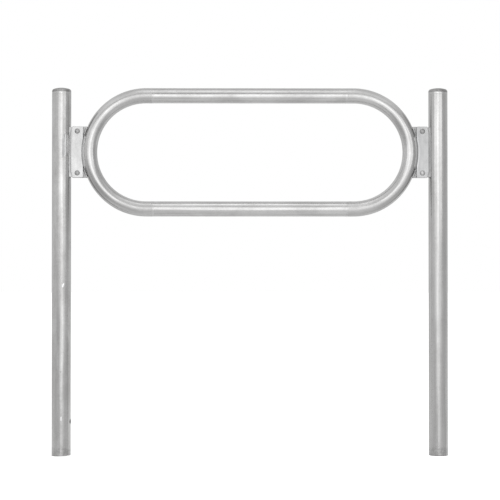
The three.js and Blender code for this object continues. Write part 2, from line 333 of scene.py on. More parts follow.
# Posts
def foot_lift(side, angle):
    """How far the sawn foot is uneven, with a thicker drip of zinc on the left post."""
    roughness = 0.2 * MM
    drip = 1.4 * MM
    drip_turn = 0.2
    lift = roughness * (1 + waver(angle, 3 + side, 2.5))
    if side < 0:
        lift += drip * (1 + math.cos(angle - drip_turn))
    return lift


def post_body(side, name):
    """The tube, from its foot up the outside and down the bore, with rings close round the hole."""
    foot_zone = 24 * MM
    hole_low = ANCHOR_HEIGHT - 10 * MM
    hole_high = ANCHOR_HEIGHT + 12 * MM
    inner = POST_RADIUS - POST_WALL
    neck = POST_RADIUS - WELD_BEVEL
    lowest = min(foot_lift(side, TURN * i / POST_SIDES) for i in range(POST_SIDES))

    def near_foot(height, radius):
        share = 1 - height / foot_zone
        return lambda angle: (height + (foot_lift(side, angle) - lowest) * share, radius)

    foot = [(0, -0.6), (0.15, -0.25), (0.6, 0), (3, 0), (8, 0), (14, 0)]
    profile = [near_foot(height * MM, POST_RADIUS + step * MM) for height, step in foot]
    outside = even(foot_zone, ANCHOR_HEIGHT - 12 * MM, 3) + even(hole_low, hole_high, 11)
    outside += even(ANCHOR_HEIGHT + 30 * MM, POST_TOP - 5 * MM, 28)
    outside += [POST_TOP - 3.2 * MM, POST_TOP - 3 * MM]
    profile += [(z, POST_RADIUS) for z in outside]
    profile += [(POST_TOP - 1 * MM, neck), (POST_TOP, neck), (POST_TOP, inner)]
    profile += [(z, inner) for z in even(hole_high, hole_low, 11)]
    profile += [near_foot(14 * MM, inner), near_foot(0.5 * MM, inner)]
    profile += [near_foot(0, inner + 0.4 * MM)]
    shift = Vector((side * POST_GRAIN, 0, 0))
    piece = swept(name, profile, upright(side * POST_X, 0), POST_SIDES, shift)
    drill_anchor_hole(piece, side, shift)
    return piece


def drill_anchor_hole(piece, side, shift):
    """Cuts the cross hole through both walls of a post, and gives the new mesh its grain."""
    across = Vector((math.cos(ANCHOR_TURN), -math.sin(ANCHOR_TURN), 0))
    middle = Vector((side * POST_X, 0, ANCHOR_HEIGHT))

    def line(along):
        return middle + along * across, Z_AXIS.cross(across), Z_AXIS

    reach = POST_RADIUS + 5 * MM
    ends = [(-reach, 0), (-reach, ANCHOR_RADIUS), (reach, ANCHOR_RADIUS), (reach, 0)]
    bit = swept(piece.name + "_bit", ends, line, 48, Vector())
    cut = piece.modifiers.new("anchor hole", "BOOLEAN")
    cut.object = bit
    cut.solver = "EXACT"
    whole = piece.evaluated_get(bpy.context.evaluated_depsgraph_get())
    drilled = bpy.data.meshes.new_from_object(whole)
    piece.modifiers.clear()
    piece.data = drilled
    bpy.data.objects.remove(bit)
    drilled.attributes.remove(drilled.attributes["grain"])
    offset = shift - Vector((side * POST_X, 0, 0))
    finish_mesh(drilled, [v.co + offset for v in drilled.vertices])


def cap_piece(side, name):
    """The domed cap, from the middle of its top out, down its skirt and back up inside."""
    rim = POST_RADIUS - CAP_EDGE
    drop = math.sqrt((CAP_DOME - CAP_EDGE) ** 2 - rim ** 2)
    dome_centre = CAP_SKIRT - drop
    dome_angle = math.asin(rim / (CAP_DOME - CAP_EDGE))
    inner_dome = CAP_DOME - CAP_WALL
    inner = POST_RADIUS - CAP_WALL
    foot = POST_RADIUS - WELD_BEVEL

    def on_dome(radius, angle):
        return dome_centre + radius * math.cos(angle), radius * math.sin(angle)

    profile = [(dome_centre + CAP_DOME, 0)]
    profile += [on_dome(CAP_DOME, dome_angle * i / 14) for i in range(1, 15)]
    for i in range(1, 9):
        angle = dome_angle + (TURN / 4 - dome_angle) * i / 8
        along = CAP_SKIRT + CAP_EDGE * math.cos(angle)
        profile.append((along, rim + CAP_EDGE * math.sin(angle)))
    profile += [(2.8 * MM, POST_RADIUS), (2.6 * MM, POST_RADIUS)]
    profile += [(1 * MM, foot), (0, foot), (0, inner)]
    inner_angle = math.asin(inner / inner_dome)
    profile += [on_dome(inner_dome, inner_angle * i / 8) for i in range(8, 0, -1)]
    profile.append((dome_centre + inner_dome, 0))
    shift = Vector((side * POST_GRAIN, 0, 1.2))
    return swept(name, profile, upright(side * POST_X, CAP_FOOT), POST_SIDES, shift)


def cap_weld(side, name):
    """The weld round the foot of the cap, ground nearly flush with the post."""
    sides = 240
    half_width = 3 * MM
    root = POST_RADIUS - 1.6 * MM
    wander = 0.7 * MM
    deepest_dent = 0.1 * MM

    def station(share, sink):
        def at(angle):
            along = half_width * share + wander * waver(angle, 21 + side, 5)
            dent = deepest_dent * max(0, waver(angle, 5 * share + side, 9))
            return along, POST_RADIUS - sink * MM - dent
        return at

    shape = [(-1, 0.3), (-0.9, 0.02), (-0.86, 0), (-0.82, 0), (0, 0)]
    shape += [(-share, sink) for share, sink in reversed(shape[:-1])]
    profile = [station(share, sink) for share, sink in shape]
    profile += [(half_width, root), (-half_width, root)]
    place = upright(side * POST_X, CAP_FOOT - SEAT_GAP / 2)
    shift = Vector((side * POST_GRAIN, 0, 2))
    return swept(name, profile, place, sides, shift, WELD_CREASE)


def zinc_patch(name, place, size, rise, blunt=2, square=1.0, slant=0.0):
    """A low patch of zinc on the left post, with a rim that sinks into the wall. Its place is in
    degrees round the post from the front, and in height. Its size is half its width and length.
    A higher blunt steepens the rim, a square under 1 gives corners, and slant leans the ends."""
    rings = 20
    sides = 64
    rim_sink = 0.12 * MM
    root_depth = 1.2 * MM
    root_share = 0.9
    angle, height = math.radians(place[0]), place[1]
    half_width, half_length = size

    def spread(value):
        return math.copysign(abs(value) ** square, value)

    outs = [Vector((0, 0, rise))]
    for ring in range(1, rings + 1):
        share = ring / rings
        for step in range(sides):
            turn = TURN * step / sides
            reach = share * (1 + 0.10 * waver(turn, height * 40, 2))
            across = reach * half_width * spread(math.cos(turn))
            along = reach * half_length * spread(math.sin(turn)) + slant * across
            lumps = 1 + 0.35 * noise.noise(Vector((across * 300, along * 120, height * 9)))
            swell = rise * lumps * (1 - share ** blunt) ** 1.5 - rim_sink * share ** 8
            outs.append(Vector((across, along, swell)))
    loops = [[0]]
    for ring in range(rings):
        loops.append(list(range(1 + ring * sides, 1 + (ring + 1) * sides)))
    below = len(outs)
    outs += [Vector((root_share * v.x, root_share * v.y, -root_depth)) for v in outs[-sides:]]
    loops.append(list(range(below, below + sides)))
    outs.append(Vector((0, 0, -root_depth)))
    loops.append([len(outs) - 1])
    placed = []
    for across, along, out in outs:
        turned = angle + across / POST_RADIUS
        # Nothing comes in front of the plane that touches the post's front
        room = POST_RADIUS / max(0.05, math.cos(turned)) - POST_RADIUS
        reach = POST_RADIUS + min(out, 0.9 * room)
        x = reach * math.sin(turned) - POST_X
        placed.append(Vector((x, -reach * math.cos(turned), height + along)))
    shift = Vector((-POST_X * 0.3, 0.4, 2.7))
    return mesh_piece(name, placed, bands(loops), [shift + v for v in placed], WELD_CREASE)


# Hoop
def bend_piece(side, name):
    place, length = bend_line(side)
    stub = BEND_CENTRE - BEND_START
    stations = [0, stub / 2] + even(stub, length - stub, BEND_STEPS) + [length - stub / 2, length]
    profile = tube_profile(stations)
    return swept(name, profile, place, TUBE_SIDES, Vector((side * 0.9, 0.5, 0)))


def rail_piece(height, name, seed):
    profile = tube_profile(even(-RAIL_END, RAIL_END, 30))
    return swept(name, profile, level(height), TUBE_SIDES, Vector((0.2, 0.5, seed)))


def butt_weld(x, height, name):
    """The bead round a butt joint of the hoop, low and rippled, and lower on the right."""
    sides = 336
    ripples = 84
    half_width = 3.4 * MM
    crown = (0.16 if x < 0 else 0.07) * MM
    sink = 0.02 * MM
    wander = 0.5 * MM
    root = HOOP_RADIUS - 1 * MM

    def station(share):
        bulge = 1 - share * share

        def at(angle):
            ripple = crown / 4 * abs(math.sin(ripples * angle / 2 + 1.2 * share * share))
            swell = crown * bulge * (0.8 + 0.2 * waver(angle, 50 + 7 * x, 4))
            along = half_width * share + wander * waver(angle, 40 + 3 * x, 3)
            return along, HOOP_RADIUS - sink + swell - ripple * bulge
        return at

    profile = [station(share / 5) for share in range(-5, 6)]
    profile += [(half_width, root), (-half_width, root)]

    def place(along):
        return Vector((x + along, 0, height)), Y_AXIS, Z_AXIS

    return swept(name, profile, place, sides, Vector((x, 0.5, 3)), WELD_CREASE)


# Lugs, drawn from the post's axis towards the hoop, with zero at the hoop's middle height
def square_hole(centre):
    half = NECK_HOLE
    corners = [(-half, -half), (half, -half), (half, half), (-half, half)]
    return [centre + Vector(corner) for corner in corners]


def post_lug(inward, name):
    """The front plate, chamfered where it is welded to the post and arched round the hoop."""
    corner_x = POST_LUG_FREE - LUG_CORNER
    corner_z = LUG_HALF - LUG_CORNER
    edge = [LUG_HALF - LUG_CHAMFER_HEIGHT, 0.02, -0.02, LUG_CHAMFER_HEIGHT - LUG_HALF]
    points = [Vector((LUG_SEAT, z)) for z in edge]
    points += [Vector((LUG_SEAT + LUG_CHAMFER_WIDTH, -LUG_HALF))]
    points += arc(Vector((corner_x, -corner_z)), LUG_CORNER, -90, 0, 7)
    points += arc(Vector((BEND_REACH, 0)), LUG_ARCH, 180 + LUG_ARCH_TURN, 180 - LUG_ARCH_TURN, 48)
    points += arc(Vector((corner_x, corner_z)), LUG_CORNER, 0, 90, 7)
    points += [Vector((LUG_SEAT + LUG_CHAMFER_WIDTH, LUG_HALF))]
    return lug(inward, name, points, square_hole, POST_LUG_FRONT, POST_LUG_BACK, 0.3)


def hoop_lug(inward, name):
    """The rear plate, welded to the hoop."""
    corner_x = HOOP_LUG_FREE + LUG_CORNER
    corner_z = LUG_HALF - LUG_CORNER
    arch = HOOP_OUTER + SEAT_GAP
    turn = math.degrees(math.asin(LUG_HALF / arch))
    points = arc(Vector((corner_x, corner_z)), LUG_CORNER, 90, 180, 7)
    points += [Vector((HOOP_LUG_FREE, z)) for z in (0.02, -0.02)]
    points += arc(Vector((corner_x, -corner_z)), LUG_CORNER, 180, 270, 7)
    points += arc(Vector((BEND_REACH, 0)), arch, 180 + turn, 180 - turn, 56)
    return lug(inward, name, points, round_hole, HOOP_LUG_FRONT, HOOP_LUG_BACK, 0.6)


def lug(inward, name, points, hole, front, back, grain):
    """A plate with two holes of that shape. On both sides its outline is counter-clockwise."""
    if inward < 0:
        points = [Vector((-p.x, p.y)) for p in reversed(points)]
    holes = [hole(Vector((inward * BOLT_REACH, up))) for up in (BOLT_HEIGHT, -BOLT_HEIGHT)]
    origin = Vector((-inward * POST_X, 0, HOOP_MIDDLE))
    shift = Vector((0, grain, PLATE_GRAIN * inward))
    return rounded_plate(name, points, holes, front, back, origin, shift)


def round_hole(centre):
    return arc(centre, SHANK_HOLE, 0, 352.5, 47)


# Fillet welds
def fillet(corner, start, end, fill, size):
    """The section of a fillet weld: a rounded face from start to end, closed through the metal
    behind. The size runs from 0, at the corner, to 1."""
    root = 0.9 * MM
    middle = (start + end) / 2
    outward = (middle - corner).normalized()
    loop = []
    for share in even(0, 1, 9):
        point = start.lerp(end, share) + outward * fill * 4 * share * (1 - share)
        loop.append(corner + (point - corner) * size)
    loop.append(corner - outward * root)
    return loop


def bead(name, length, section, at, shift, taper):
    """A fillet weld of that length, which gets small at its ends over the taper. The section takes
    how far along it is, its size and its fill, and at takes how far along and a point of it."""
    step = 0.4 * MM
    ripple_length = 1.9 * MM
    ripple_depth = 0.10 * MM
    swell_height = 0.12 * MM
    fullness = 0.5 * MM
    smallest = 0.25
    sections = []
    for along in even(0, length, int(length / step)):
        size = min(1, smallest + (1 - smallest) * min(along, length - along) / taper)
        ripple = ripple_depth * abs(math.sin(math.pi * along / ripple_length))
        swell = swell_height * noise.noise(Vector((along * 90, 3.1, shift.x)))
        loop = section(along, size, fullness - ripple + swell)
        sections.append([at(along, u, v) for u, v in loop])
    return loft(name, sections, shift, BEAD_CREASE)


def post_lug_bead(inward, front, name):
    """The weld between a post and its lug, in front or behind. It fills the lug's chamfers."""
    length = 2 * LUG_HALF - 3 * MM
    face = POST_LUG_FRONT if front else POST_LUG_BACK
    toe = 1.4 * MM
    leg = -4.42 * MM if front else 3.06 * MM
    reach = math.sqrt(POST_RADIUS ** 2 - face ** 2)
    corner = Vector((reach, face))
    turned = math.atan2(face, reach) + leg / POST_RADIUS
    end = POST_RADIUS * Vector((math.cos(turned), math.sin(turned)))

    def section(along, size, fill):
        past = abs(along - length / 2) - LUG_HALF + LUG_CHAMFER_HEIGHT
        chamfered = max(0, past) / LUG_CHAMFER_HEIGHT
        start = Vector((LUG_SEAT + toe + chamfered * LUG_CHAMFER_WIDTH, face))
        return fillet(corner, start, end, fill, size)

    def at(along, u, v):
        return Vector((inward * (u - POST_X), v, HOOP_MIDDLE - length / 2 + along))

    return bead(name, length, section, at, Vector((inward * 0.3, 1.1, 0)), 2 * MM)


def on_bend(inward, angle, u, v):
    """A point at a radius and a depth, and at an angle round the centre of one of the bends."""
    x = -inward * (BEND_CENTRE + u * math.cos(angle))
    return Vector((x, v, HOOP_MIDDLE + u * math.sin(angle)))


def hoop_lug_bead(inward, first, last, front, name):
    """The weld between the hoop and its lug, between two angles in degrees round the bend."""
    face = HOOP_LUG_FRONT if front else HOOP_LUG_BACK
    leg = 4.2 * MM
    corner = Vector((BEND_RADIUS + math.sqrt(HOOP_RADIUS ** 2 - face ** 2), face))
    start = Vector((HOOP_OUTER + leg, face))
    depth = face - leg if front else face + leg
    end = Vector((BEND_RADIUS + math.sqrt(HOOP_RADIUS ** 2 - depth ** 2), depth))
    length = math.radians(last - first) * HOOP_OUTER

    def section(along, size, fill):
        return fillet(corner, start, end, fill, size)

    def at(along, u, v):
        return on_bend(inward, math.radians(first) + along / HOOP_OUTER, u, v)

    shift = Vector((inward * 0.3, 1.4, first * 0.01))
    return bead(name, length, section, at, shift, 5 * MM)


def arch_bead(inward, name):
    """The run of zinc on the hoop's flank that closes the crevice behind the front plate's arch."""
    past_ends = 3.5
    turn = LUG_ARCH_TURN + past_ends
    flank = math.radians(44)
    start = Vector((LUG_ARCH, POST_LUG_FRONT + LUG_EDGE))
    end_radius = BEND_RADIUS + HOOP_RADIUS * math.sin(flank)
    end = Vector((end_radius, -HOOP_RADIUS * math.cos(flank)))
    corner = Vector((LUG_ARCH, POST_LUG_BACK - 3 * MM))
    length = math.radians(2 * turn) * LUG_ARCH

    def section(along, size, fill):
        return fillet(corner, start, end, 1.6 * MM + 0.4 * fill, size)

    def at(along, u, v):
        return on_bend(inward, math.radians(-turn) + along / LUG_ARCH, u, v)

    return bead(name, length, section, at, Vector((inward * 0.3, 1.9, 0)), 10 * MM)


# Fasteners
def bolt_piece(x, z, name):
    """A bolt with a plain domed head, a square neck and a rolled thread."""
    seat = POST_LUG_FRONT
    height = seat - BOLT_FRONT - BOLT_RIM
    radius = (BOLT_HEAD_RADIUS ** 2 + height ** 2) / (2 * height)
    dome_angle = math.asin(BOLT_HEAD_RADIUS / radius)
    centre = height + BOLT_RIM - radius
    soft = 0.15 * MM
    widest_neck = 1.3 * BOLT_RADIUS
    profile = [(-height - BOLT_RIM, 0)]
    for i in range(1, 15):
        angle = dome_angle * i / 14.4
        profile.append((-centre - radius * math.cos(angle), radius * math.sin(angle)))
    profile += [(0.1 * MM - BOLT_RIM, BOLT_HEAD_RADIUS - 0.06 * MM)]
    profile += [(0.3 * MM - BOLT_RIM, BOLT_HEAD_RADIUS)]
    profile += [(-soft, BOLT_HEAD_RADIUS), (0, BOLT_HEAD_RADIUS - soft)]

    def squared(along):
        def at(angle):
            widest = max(abs(math.cos(angle)), abs(math.sin(angle)))
            return along, min(BOLT_RADIUS / widest, widest_neck)
        return at

    def threaded(along, depth):
        def at(angle):
            turns = (along / THREAD_PITCH - angle / TURN) % 1
            return along, BOLT_RADIUS - depth * abs(2 * turns - 1)
        return at

    profile += [squared(0), squared(BOLT_NECK), (BOLT_NECK + 0.6 * MM, BOLT_RADIUS)]
    end = BOLT_END - seat
    start = end - THREAD_LENGTH
    profile += [(start - 1 * MM, BOLT_RADIUS)]
    steps = int(THREAD_LENGTH / THREAD_PITCH * 6)
    for i, along in enumerate(even(start, end - 0.7 * MM, steps)):
        profile.append(threaded(along, THREAD_DEPTH * min(1, i / 6)))
    profile += [(end - 0.25 * MM, BOLT_RADIUS - 0.9 * MM), (end, BOLT_RADIUS - 1.2 * MM), (end, 0)]
    shift = Vector((x, 1.7, z))
    return swept(name, profile, rearward(x, seat, z), BOLT_SIDES, shift, PLATE_CREASE)


def washer_piece(x, z, name):
    thick = washer_high.y - washer_low.y + SEAT_GAP
    soft = 0.25 * MM
    near = 0.3 * soft
    profile = [(0, SHANK_HOLE - 0.3 * MM), (0, WASHER_RADIUS - soft)]
    profile += [(near, WASHER_RADIUS - near), (soft, WASHER_RADIUS)]
    profile += [(thick - along, radius) for along, radius in reversed(profile)]
    place = rearward(x, HOOP_LUG_BACK, z)
    return swept(name, profile, place, BOLT_SIDES, Vector((x, 2.0, z)))


def nut_piece(x, z, name):
    """A hexagon nut whose corners are turned down at both ends."""
    corner = NUT_HALF_WIDTH / math.cos(math.pi / 6)
    face = corner - NUT_CHAMFER
    height = NUT_BACK - NUT_FRONT + SEAT_GAP
    bore = BOLT_RADIUS - 0.1 * MM
    flare = bore + 0.7 * MM
    lead = 0.6 * MM
    edge = 0.05 * MM

    def hexagon(angle):
        within = (angle + math.pi / 6) % (math.pi / 3) - math.pi / 6
        return NUT_HALF_WIDTH / math.cos(math.pi / 6 - abs(within))

    def flat(along):
        return lambda angle: (along, min(face, hexagon(angle)))

    def side(along, direction):
        def at(angle):
            radius = hexagon(angle)
            return along + direction * max(0, radius - face) / math.sqrt(3), radius
        return at

    profile = [(0, flare), flat(0), side(edge, 1), side(height - edge, -1), flat(height)]
    profile += [(height, flare), (height - lead, bore), (lead, bore)]
    place = rearward(x, NUT_FRONT - SEAT_GAP, z)
    return swept(name, profile, place, NUT_SIDES, Vector((x, 2.3, z)), NUT_CREASE)


# Materials
class Graph:
    """Adds nodes to a material or a world with short calls."""

    def __init__(self, tree):
        self.tree = tree
        tree.nodes.clear()

    def add(self, kind, *values, **settings):
        """A new node. The values go into its first inputs."""
        node = self.tree.nodes.new(kind)
        for key, setting in settings.items():
            setattr(node, key, setting)
        for socket, value in zip(node.inputs, values):
            self.put(socket, value)
        return node

    def put(self, socket, value):
        """Sets a socket to a value, or links it to another socket."""
        if isinstance(value, bpy.types.NodeSocket):
            self.tree.links.new(value, socket)
        else:
            socket.default_value = value

    def math(self, operation, *values):
        return self.add("ShaderNodeMath", *values, operation=operation).outputs[0]

    def times(self, first, second):
        return self.math("MULTIPLY", first, second)

    def total(self, *values):
        result = values[0]
        for value in values[1:]:
            result = self.math("ADD", result, value)
        return result

    def rescale(self, value, low, high, new_low, new_high, smooth=False):
        values = (value, low, high, new_low, new_high)
        kind = "SMOOTHSTEP" if smooth else "LINEAR"
        return self.add("ShaderNodeMapRange", *values, interpolation_type=kind).outputs["Result"]

    def swing(self, value, size):
        """Spreads a noise, which mostly lies from 0.3 to 0.7, from minus the size to the size."""
        return self.rescale(value, 0.3, 0.7, -size, size)

    def parts(self, vector):
        """The X, Y and Z of a vector."""
        return self.add("ShaderNodeSeparateXYZ", vector).outputs

    def distance(self, vector, point):
        return self.add("ShaderNodeVectorMath", vector, point, operation="DISTANCE").outputs[1]

    def stretch(self, vector, scale):
        return self.add("ShaderNodeVectorMath", vector, scale, operation="MULTIPLY").outputs[0]

    def noise(self, vector, scale, detail=2.0, roughness=0.5, distortion=0.0):
        node = self.add("ShaderNodeTexNoise", vector)
        settings = dict(Scale=scale, Detail=detail, Roughness=roughness, Distortion=distortion)
        for key, setting in settings.items():
            node.inputs[key].default_value = setting
        return node.outputs["Fac"]

    def cells(self, vector, scale):
        """One random grey for each cell, as the crystals of a zinc coat have."""
        node = self.add("ShaderNodeTexVoronoi", vector, feature="SMOOTH_F1")
        node.inputs["Scale"].default_value = scale
        node.inputs["Smoothness"].default_value = 0.35
        return self.add("ShaderNodeSeparateColor", node.outputs["Color"]).outputs[0]


def surface(name):
    """A new material, its graph and its shader."""
    material = bpy.data.materials.new(name)
    material.use_nodes = True
    graph = Graph(material.node_tree)
    shader = graph.add("ShaderNodeBsdfPrincipled")
    graph.add("ShaderNodeOutputMaterial", shader.outputs[0])
    return material, graph, shader


def grey(value, warmth=0.0):
    return (value * (1 + warmth), value, value * (1 - warmth), 1.0)


def painted_arch_highlight(graph, where):
    """Painted highlight: lightens the right front plate in a band along its arch, standing in for
    the light that its rounded edge catches.
    """
    centre = (BEND_CENTRE, 0, HOOP_MIDDLE - PLATE_GRAIN)
    reach = graph.distance(graph.stretch(where, (1, 0, 1)), centre)
    return graph.rescale(reach, HOOP_OUTER + 3 * MM, HOOP_OUTER + 8 * MM, 1.22, 1.0, True)


def dull_ends(graph, where):
    """More roughness near both ends of a bend, where the tube was clamped."""
    length = 2 * (BEND_CENTRE - BEND_START) + math.pi * BEND_RADIUS
    along = graph.parts(where)["Z"]
    inside = graph.math("MINIMUM", along, graph.math("SUBTRACT", length, along))
    return graph.rescale(inside, 70 * MM, 150 * MM, 0.13, 0.0, True)


def painted_underside_shade(graph, where):
    """Painted shade: darkens the faces that look down."""
    up = graph.parts(graph.add("ShaderNodeNewGeometry").outputs["Normal"])["Z"]
    return graph.rescale(up, -0.7, -0.15, 0.15, 1.0, True)


def post_stains_and_painted_light(side):
    """A shade for a post: painted shade darkens the bore and the walls of the anchor hole, the sawn
    end is darker over its lowest few millimetres, painted light makes the foot a little paler than
    the rest, and its lowest part is stained in patches. The left post has a dull patch too."""
    foot_painted_light = 1.09 if side < 0 else 1.03

    def shade(graph, where):
        height = graph.parts(where)["Z"]
        end = graph.rescale(height, 0.5 * MM, 3.5 * MM, 0.55, 1.0, True)
        stained = graph.rescale(height, 22 * MM, 30 * MM, 1.0, 0.0, True)
        spots = graph.rescale(graph.noise(where, 130, 2, 0.6), 0.35, 0.62, 0.0, -0.22)
        # Painted light: the foot is lightened, the left post's more than the right's.
        pale = graph.rescale(height, 70 * MM, 300 * MM, foot_painted_light, 1.0, True)
        outside = graph.math("ADD", graph.times(stained, spots), pale)
        # Painted shade: the bore and the anchor hole's walls are darkened.
        reach = graph.distance(graph.stretch(where, (1, 1, 0)), (side * POST_GRAIN, 0, 0))
        inner, outer = POST_RADIUS - 0.6 * MM, POST_RADIUS - 0.1 * MM
        bore = graph.rescale(reach, inner, outer, 0.12, 1.0, True)
        whole = graph.times(graph.times(end, outside), bore)
        return graph.times(whole, dull_patch(graph, where)) if side < 0 else whole
    return shade


def dull_patch(graph, where):
    """Darkens a long patch on the left post, low at its left side."""
    turn = math.radians(-13)
    height = 412 * MM
    flat = 0.11
    aside = POST_RADIUS * math.sin(turn) - POST_GRAIN
    middle = (aside, -POST_RADIUS * math.cos(turn), flat * height)
    off = graph.distance(graph.stretch(where, (1, 1, flat)), middle)
    return graph.rescale(off, 2 * MM, 11 * MM, 0.81, 1.0, True)


def zinc(name, dark, light, warmth, roughness, mottle=1.0, lumps=1.0, shade=None, dull=None):
    """Hot-dip galvanised steel from a dark to a light grey. The mottle is how strongly its coat is
    clouded, and the lumps how wavy its skin is, which is drawn out in long lines. The shade is a
    function whose factor lightens or darkens some places, and dull is one that adds roughness."""
    material, graph, shader = surface(name)
    shader.inputs["Metallic"].default_value = 1.0
    grain = graph.add("ShaderNodeAttribute", attribute_type="GEOMETRY", attribute_name="grain")
    where = grain.outputs["Vector"]
    clouds = graph.noise(graph.stretch(where, (1, 1, 0.4)), 22, 2, 0.5, 0.5)
    patches = graph.noise(where, 75, 2, 0.5, 0.3)
    crystals = graph.cells(where, 120)
    runs = graph.noise(graph.stretch(where, (1, 1, 0.035)), 120)
    lines = graph.noise(graph.stretch(where, (1, 1, 0.02)), 300, 1)
    specks = graph.noise(where, 900, 1)
    dots = graph.noise(where, 160, 0)
    tone = graph.total(
        graph.swing(clouds, 0.5 * mottle),
        graph.swing(patches, 0.14 * mottle),
        graph.rescale(crystals, 0.0, 1.0, -0.05, 0.05),
        graph.swing(runs, 0.35),
        graph.swing(specks, 0.04),
        graph.rescale(dots, 0.76, 0.82, 0.0, -0.5),
        0.5)
    share = graph.math("MAXIMUM", tone, 0.0)
    colour = graph.add("ShaderNodeMix", share, data_type="RGBA", clamp_factor=False)
    low, high = colour.inputs[6], colour.inputs[7]
    low.default_value = grey(dark, warmth)
    high.default_value = grey(light, warmth * 0.5)
    shaded = graph.add("ShaderNodeVectorMath", colour.outputs[2], operation="SCALE")
    graph.put(shaded.inputs["Scale"], shade(graph, where) if shade else 1.0)
    graph.put(shader.inputs["Base Color"], shaded.outputs[0])
    rough = graph.total(
        graph.swing(clouds, -0.03),
        graph.swing(patches, -0.03),
        graph.rescale(crystals, 0.0, 1.0, -0.02, 0.02),
        dull(graph, where) if dull else 0.0,
        roughness)
    graph.put(shader.inputs["Roughness"], rough)
    waves = graph.noise(graph.stretch(where, (1, 1, 0.16)), 36, 1, 0.4)
    skin = graph.noise(where, 120, 1)
    height = graph.total(
        graph.times(waves, 1.9 * lumps),
        graph.times(runs, 0.55 * lumps),
        graph.times(lines, 0.06 * lumps),
        graph.times(skin, 0.02 * lumps))
    bump = graph.add("ShaderNodeBump")
    bump.inputs["Distance"].default_value = 0.35 * MM
    graph.put(bump.inputs["Height"], height)
    graph.put(shader.inputs["Normal"], bump.outputs["Normal"])
    return material


# The zinc of each kind of piece: dark and light grey, warmth, roughness, mottle, lumps
# The posts' zinc carries painted shade in the bore and painted light on the foot, besides the
# stains.
LEFT_ZINC = zinc("left_post_zinc", 0.44, 0.54, 0.008, 0.22, 1.3, 1.25, post_stains_and_painted_light(-1))
RIGHT_ZINC = zinc("right_post_zinc", 0.44, 0.54, 0.008, 0.22, 0.7, 0.65, post_stains_and_painted_light(1))
# Painted shade: the domed cap's zinc is darker than the post's, standing in for the dark that its
# dome mirrors.
SHADED_CAP_ZINC = zinc("shaded_cap_zinc", 0.26, 0.40, 0.010, 0.40, 1.6, 1.6)
HOOP_ZINC = zinc("hoop_zinc", 0.44, 0.54, 0.005, 0.20, 0.8, 0.5)
BEND_ZINC = zinc("bend_zinc", 0.44, 0.54, 0.005, 0.20, 1.0, 0.9, dull=dull_ends)
# The left front plate's zinc gets painted shade on its faces that look down.
LUG_ZINC = zinc("lug_zinc", 0.455, 0.54, 0.0, 0.32, 0.8, 0.7, painted_underside_shade)
# Painted shade: the right front plate's copy of the plate zinc is darker and a little cooler, with
# a painted highlight along its arch.
SHADED_LUG_ZINC = zinc("shaded_lug_zinc", 0.39, 0.465, -0.006, 0.34, 0.8, 0.7, painted_arch_highlight)
# Painted shade: the rear plates' zinc is darker, standing in for the shade in the corners beside
# the front plate.
SHADED_REAR_LUG_ZINC = zinc("shaded_rear_lug_zinc", 0.32, 0.40, 0.0, 0.36, 1.0, 0.8)
WELD_ZINC = zinc("weld_zinc", 0.42, 0.60, 0.008, 0.36, 1.3, 1.8)
FILLET_ZINC = zinc("fillet_zinc", 0.48, 0.63, 0.0, 0.42, 1.3, 1.5)
# Painted shade on the right bracket's front fillet; on the left post the same darker zinc is the
# skin under the splash.
SHADE_AND_SKIN_ZINC = zinc("shade_and_skin_zinc", 0.35, 0.46, 0.0, 0.40, 1.3, 1.5)
# Painted light: the rear plates' welds above and below the arch lie in shadowed corners and are
# made very pale.
PAINTED_LIGHT_BEAD_ZINC = zinc("painted_light_bead_zinc", 0.68, 0.84, 0.0, 0.60, 1.0, 0.8)
# Pale zinc of the arch's run and the left post's splash: real zinc whose pale tone partly paints
# reflections of the front plate and the hoop.
BEAD_ZINC = zinc("bead_zinc", 0.55, 0.75, 0.0, 0.48, 1.3, 1.5)
RUN_ZINC = zinc("run_zinc", 0.46, 0.62, 0.008, 0.30, 1.5, 1.8)
# Dark zinc of the skin under the left post's run: real zinc whose dark tone is partly painted shade
# beside the bracket.
SKIN_ZINC = zinc("skin_zinc", 0.30, 0.38, 0.0, 0.45)
# Very pale zinc of the drops: real lumps whose glints are partly painted into the tone.
DROP_ZINC = zinc("drop_zinc", 0.78, 0.88, 0.0, 0.20)
BOLT_ZINC = zinc("bolt_zinc", 0.33, 0.44, 0.0, 0.46)
PALE_BOLT_ZINC = zinc("pale_bolt_zinc", 0.44, 0.54, 0.0, 0.46)


# Studio. Brightness by compass direction, in degrees: 0 is the camera's side, 90 is to the right
BRIGHTEST = 2.0
ABOVE_EYE_LEVEL = [
    (-180, 0.85), (-150, 0.70), (-115, 0.85), (-60, 0.90), (-38, 0.95), (-18, 0.85), (0, 0.60),
    (18, 0.85), (38, 0.70), (85, 0.65), (115, 0.75), (150, 0.65), (180, 0.85)]
BELOW_EYE_LEVEL = [
    (-180, 1.0), (-150, 0.75), (-115, 0.8), (-60, 0.65), (-38, 0.65), (-18, 0.75), (0, 1.05),
    (18, 0.9), (38, 0.75), (85, 0.64), (115, 0.95), (150, 0.8), (180, 1.0)]
OVERHEAD = [(-180, 0.9), (-90, 0.95), (0, 1.15), (90, 0.9), (180, 0.9)]
UNDERFOOT = [(-180, 0.9), (-90, 0.9), (0, 0.97), (90, 0.8), (180, 0.9)]
ZENITH = 0.86

# Soft patches of light far away: the middle's compass direction and height, half the width and
# half the height, all in degrees, and the brightness
SKY_CARDS = [
    (0, 42, 40, 9, 0.37), (0, -6.5, 12, 3.8, 0.75), (180, 14, 60, 10, 0.44),
    (180, 32, 60, 10, 0.17)]


